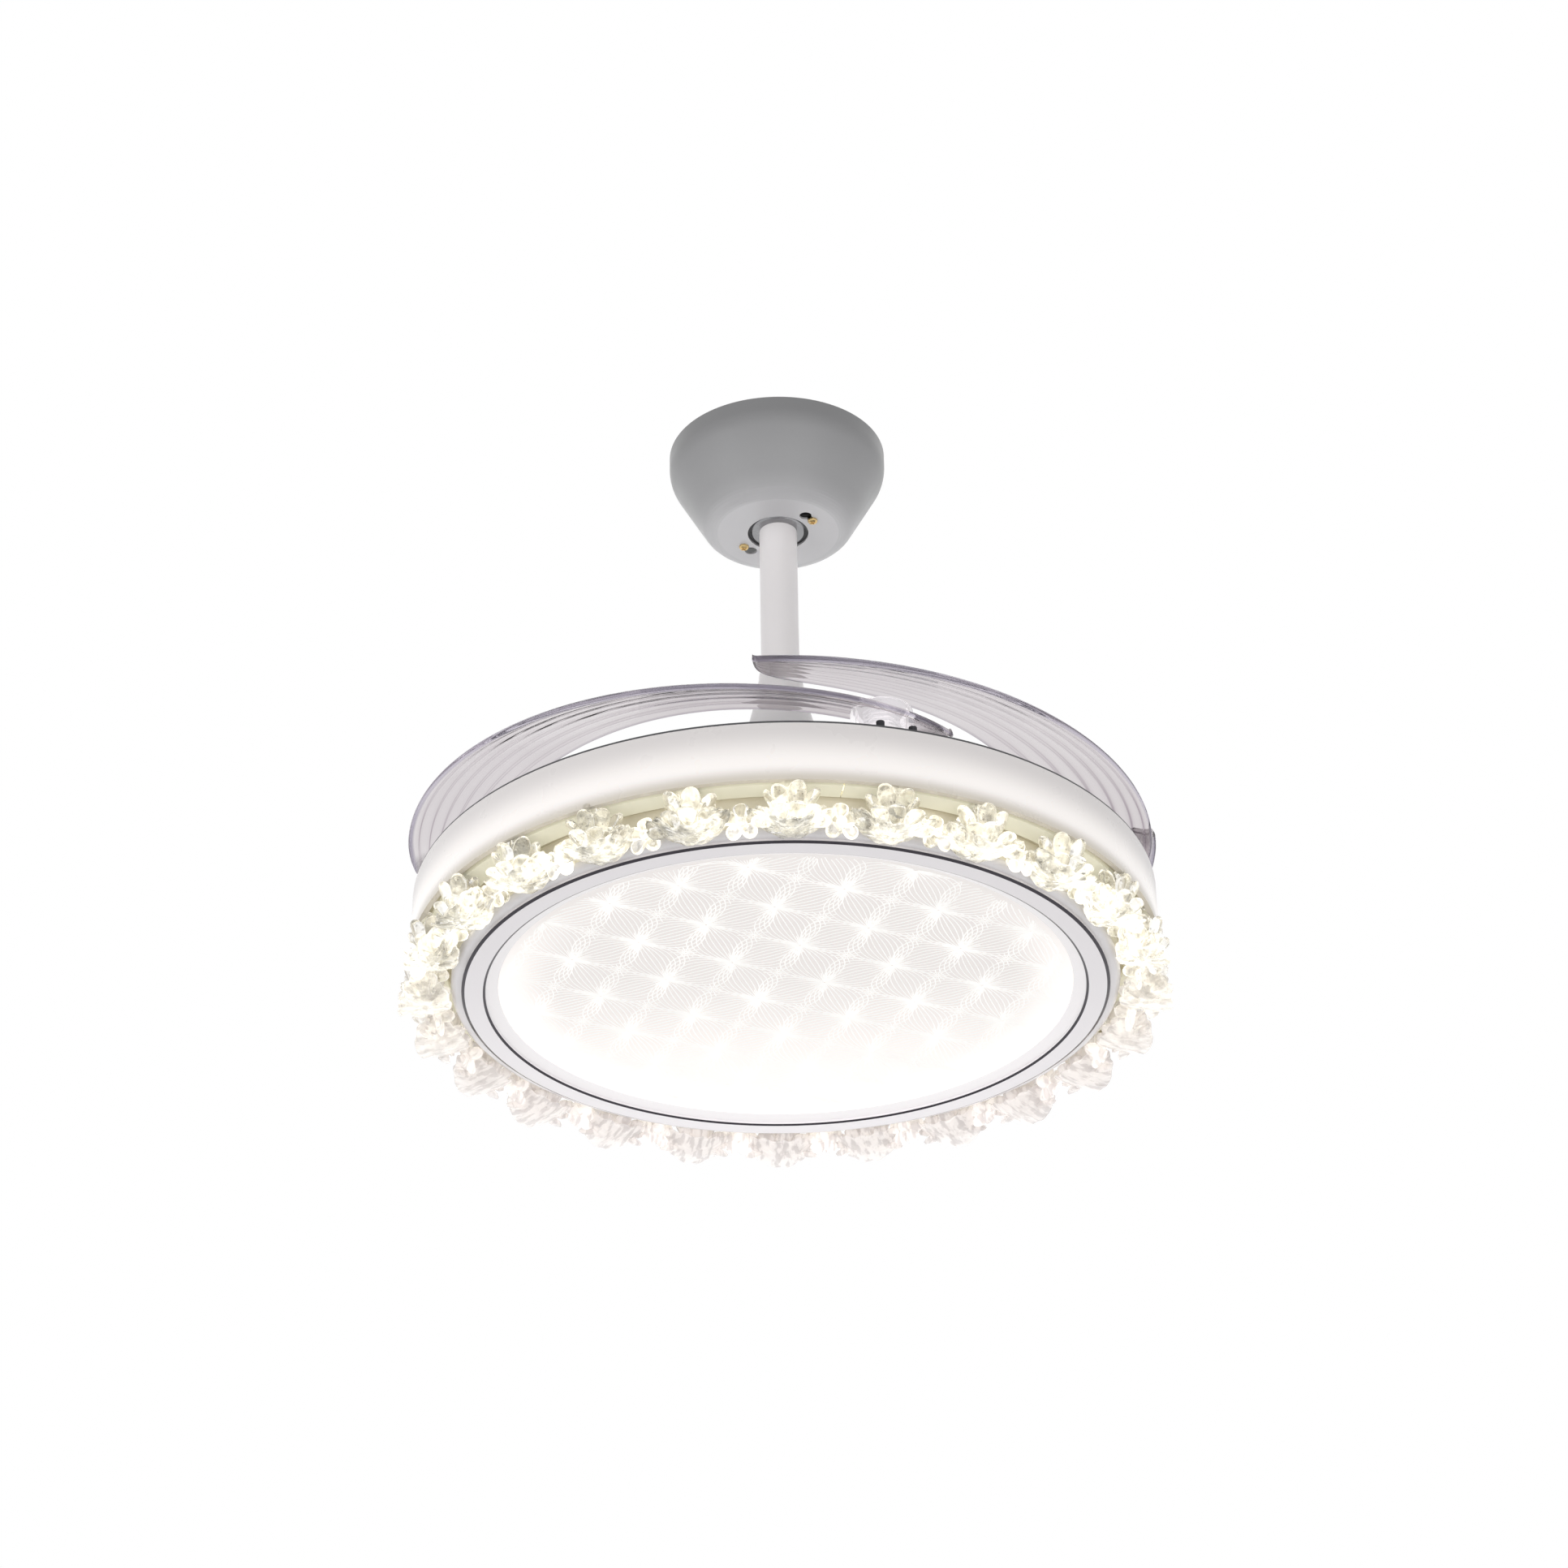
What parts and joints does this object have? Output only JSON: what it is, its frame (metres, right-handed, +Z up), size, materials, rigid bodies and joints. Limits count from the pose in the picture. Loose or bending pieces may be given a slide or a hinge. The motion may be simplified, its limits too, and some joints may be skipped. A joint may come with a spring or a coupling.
{
  "type": "ceiling fan",
  "caption": "Ceiling fan on a ball-hung rod: clear crescent blades fold over a lit drum edged with crystal flowers, and swing out when the rotor turns.",
  "frame": {"origin": "on the ceiling, at the middle of the hanger bracket's top face, on the fan's axis", "axes": "+Z up into the ceiling, -Y towards the viewer of the picture, +X to that viewer's right"},
  "size_m": [0.5, 0.5, 0.4345],
  "materials": {
    "bracket_steel": "zinc plated, satin",
    "canopy_paint": "gloss",
    "brass_screw": "bright",
    "seat_nylon": "satin",
    "pin_steel": "machined",
    "ball_nickel": "nickel plated",
    "rod_paint": "satin gloss",
    "cast_aluminium": "machined",
    "lamination_steel": "varnished",
    "copper_wire": "enamelled copper",
    "bearing_steel": "ground",
    "magnet_ferrite": "sintered, matt",
    "screw_steel": "zinc plated",
    "carrier_paint": "satin",
    "cap_plastic": "satin",
    "spring_steel": "drawn",
    "bumper_rubber": "matt",
    "guide_nylon": "satin",
    "gear_nylon": "satin",
    "blade_clear": "clear, polished",
    "chassis_paint": "satin",
    "drum_paint": "satin gloss",
    "shelf_paint": "satin",
    "strip_board": "lit strip",
    "lens_frost": "frosted",
    "rail_paint": "satin",
    "crystal_clear": "clear, faceted",
    "cover_gloss": "gloss",
    "trim_gloss": "gloss",
    "edge_dark": "black chrome",
    "diffuser_acrylic": "frosted, lit",
    "board_white": "white solder mask",
    "standoff_brass": "turned",
    "box_plastic": "satin"
  },
  "bodies": {
    "ceiling": {"hanger_bracket": "bracket_steel", "canopy": "canopy_paint", "canopy_screws": "brass_screw", "ball_seat": "seat_nylon"},
    "swivel": {"hanger_pin": "pin_steel"},
    "pendant": {"hanger_ball": "ball_nickel", "ball_set_screw": "screw_steel", "downrod": "rod_paint", "rod_coupling": "cast_aluminium", "coupling_bolt": "screw_steel", "coupling_cover": "rod_paint", "motor_shaft": "pin_steel", "stator_hub": "cast_aluminium", "stator_core": "lamination_steel", "stator_windings": "copper_wire", "upper_bearing": "bearing_steel", "lower_bearing": "bearing_steel", "lamp_flange": "cast_aluminium", "shaft_nut": "screw_steel", "chassis_plate": "chassis_paint", "chassis_screws": "screw_steel", "drum_band": "drum_paint", "shelf_ring": "shelf_paint", "side_led_strip": "strip_board", "side_lens": "lens_frost", "crystal_rail": "rail_paint", "crystal_flowers": "crystal_clear", "crystal_buds": "crystal_clear", "bottom_cover": "cover_gloss", "cover_screws": "screw_steel", "trim_ring": "trim_gloss", "trim_edge_outer": "edge_dark", "trim_edge_inner": "edge_dark", "diffuser": "diffuser_acrylic", "led_board": "board_white", "board_standoffs": "standoff_brass", "driver_box": "box_plastic", "receiver_box": "box_plastic"},
    "rotor": {"rotor_upper_shell": "cast_aluminium", "rotor_lower_shell": "cast_aluminium", "rotor_magnets": "magnet_ferrite", "rotor_screws": "screw_steel", "blade_carrier": "carrier_paint", "pivot_posts": "pin_steel", "pivot_caps": "cap_plastic", "blade_springs": "spring_steel", "stop_bumpers": "bumper_rubber", "ring_guides": "guide_nylon"},
    "synchroniser": {"sync_ring": "guide_nylon"},
    "blade_arm_1": {"blade_1": "blade_clear", "blade_gear_1": "gear_nylon"},
    "blade_arm_2": {"blade_2": "blade_clear", "blade_gear_2": "gear_nylon"},
    "blade_arm_3": {"blade_3": "blade_clear", "blade_gear_3": "gear_nylon"},
    "blade_arm_4": {"blade_4": "blade_clear", "blade_gear_4": "gear_nylon"}
  },
  "joints": [
    {"name": "sway_x", "type": "hinge", "parent": "ceiling", "child": "swivel", "pos_m": [0, 0, -0.044], "axis": [1, 0, 0], "range_deg": [-10, 10]},
    {"name": "sway_y", "type": "hinge", "parent": "swivel", "child": "pendant", "pos_m": [0, 0, -0.044], "axis": [0, 1, 0], "range_deg": [-10, 10]},
    {"name": "rotor_spin", "type": "hinge", "parent": "pendant", "child": "rotor", "pos_m": [0, 0, -0.311], "axis": [0, 0, -1], "continuous": true},
    {"name": "fold_1", "type": "hinge", "parent": "rotor", "child": "blade_arm_1", "pos_m": [0.06186, -0.17965, -0.3295], "axis": [0, 0, 1], "range_deg": [0, 118], "stiffness_Nm_per_rad": 0.03, "springref_deg": -34.38},
    {"name": "fold_2", "type": "hinge", "parent": "rotor", "child": "blade_arm_2", "pos_m": [0.17965, 0.06186, -0.3295], "axis": [0, 0, 1], "range_deg": [0, 118], "stiffness_Nm_per_rad": 0.03, "springref_deg": -34.38},
    {"name": "fold_3", "type": "hinge", "parent": "rotor", "child": "blade_arm_3", "pos_m": [-0.06186, 0.17965, -0.3295], "axis": [0, 0, 1], "range_deg": [0, 118], "stiffness_Nm_per_rad": 0.03, "springref_deg": -34.38},
    {"name": "fold_4", "type": "hinge", "parent": "rotor", "child": "blade_arm_4", "pos_m": [-0.17965, -0.06186, -0.3295], "axis": [0, 0, 1], "range_deg": [0, 118], "stiffness_Nm_per_rad": 0.03, "springref_deg": -34.38},
    {"name": "sync_turn", "type": "hinge", "parent": "rotor", "child": "synchroniser", "pos_m": [0, 0, -0.3402], "axis": [0, 0, 1], "range_deg": [-15.6, 0]}
  ],
  "couplings": [
    {"joint": "fold_2", "follows": "fold_1", "ratio": 1},
    {"joint": "fold_3", "follows": "fold_1", "ratio": 1},
    {"joint": "fold_4", "follows": "fold_1", "ratio": 1},
    {"joint": "sync_turn", "follows": "fold_1", "ratio": -0.13095}
  ]
}
